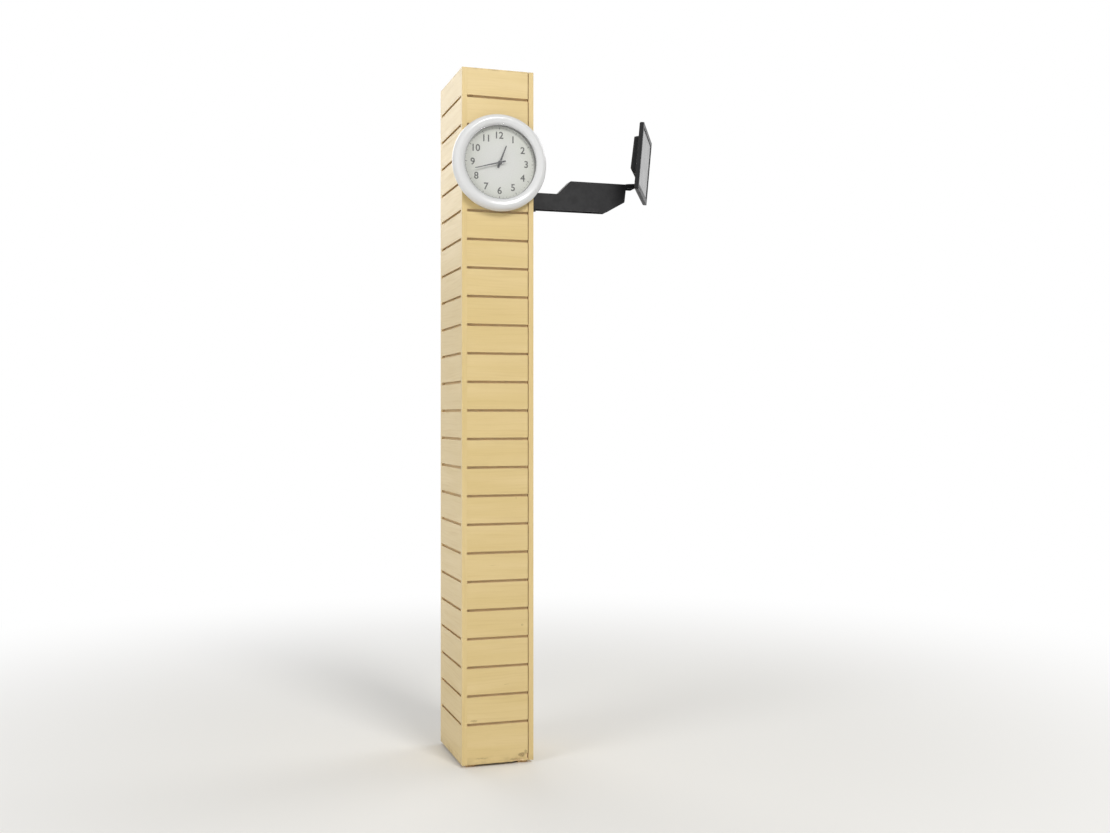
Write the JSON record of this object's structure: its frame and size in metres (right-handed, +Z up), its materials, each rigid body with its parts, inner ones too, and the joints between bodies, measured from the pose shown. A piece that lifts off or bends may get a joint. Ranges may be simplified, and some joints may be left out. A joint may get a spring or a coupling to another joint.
{
  "type": "slatwall-clad shop column",
  "caption": "Indoor column boxed in grooved display boards, with a round wall clock on its front and a small monitor on a swinging bracket at its side.",
  "frame": {"origin": "middle of the column's foot, on the floor: the middle of the base plate's underside", "axes": "+Z up the column, -Y out of the front face that carries the clock, +X out of the right-hand side that carries the monitor bracket"},
  "size_m": [0.8766, 0.395, 2.45],
  "materials": {
    "slatwall": "pale maple foil on grooved fibreboard, satin",
    "corner_trim": "pale maple foil on a square post",
    "timber": "rough sawn softwood",
    "primed_steel": "red oxide primer",
    "clock_plastic": "white moulded plastic",
    "clock_dial": "printed white card",
    "clock_glass": "clear flat lens",
    "clock_hands": "black stamped sheet",
    "movement": "black moulded plastic",
    "zinc": "bright zinc plate",
    "bracket_steel": "black powder coat",
    "monitor_plastic": "fine textured black",
    "monitor_screen": "dark screen, switched off"
  },
  "bodies": {
    "column": {"slatwall_front": "slatwall", "slatwall_back": "slatwall", "slatwall_left": "slatwall", "slatwall_right": "slatwall", "corner_trim_front_left": "corner_trim", "corner_trim_front_right": "corner_trim", "corner_trim_back_left": "corner_trim", "corner_trim_back_right": "corner_trim", "batten_front_left": "timber", "batten_front_right": "timber", "batten_back_left": "timber", "batten_back_right": "timber", "noggings_front": "timber", "noggings_back": "timber", "noggings_left": "timber", "noggings_right": "timber", "stanchion": "primed_steel", "base_plate": "primed_steel", "cap_plate": "primed_steel", "clock_case": "clock_plastic", "clock_dial": "clock_dial", "clock_glass": "clock_glass", "clock_movement": "movement", "clock_nail": "zinc", "bracket_screws": "zinc", "bracket_swing_pin": "zinc", "bracket_wall_plate": "bracket_steel"},
    "hour_hand": {"clock_hour_hand": "clock_hands"},
    "minute_hand": {"clock_minute_hand": "clock_hands"},
    "arm": {"bracket_arm": "bracket_steel"},
    "turntable": {"bracket_turntable": "bracket_steel", "bracket_turn_nut": "zinc", "monitor_tilt_pin": "zinc"},
    "monitor": {"monitor_rear_cover": "monitor_plastic", "monitor_housing": "monitor_plastic", "monitor_bezel": "monitor_plastic", "monitor_screen": "monitor_screen"}
  },
  "joints": [
    {"name": "minute_hand_turn", "type": "hinge", "parent": "column", "child": "minute_hand", "pos_m": [0, -0.2, 2.118], "axis": [0, 1, 0], "continuous": true},
    {"name": "hour_hand_turn", "type": "hinge", "parent": "column", "child": "hour_hand", "pos_m": [0, -0.2, 2.118], "axis": [0, 1, 0], "continuous": true},
    {"name": "arm_swing", "type": "hinge", "parent": "column", "child": "arm", "pos_m": [0.17, 0, 2.024], "axis": [0, 0, 1], "range_deg": [-40, 40]},
    {"name": "head_turn", "type": "hinge", "parent": "arm", "child": "turntable", "pos_m": [0.562, 0, 2.104], "axis": [0, 0, 1], "range_deg": [-40, 60]},
    {"name": "monitor_tilt", "type": "hinge", "parent": "turntable", "child": "monitor", "pos_m": [0.58885, -0.01339, 2.1103], "axis": [0.4462, 0.8949, 0], "range_deg": [-12, 15]}
  ],
  "couplings": [
    {"joint": "hour_hand_turn", "follows": "minute_hand_turn", "ratio": 0.083333}
  ]
}
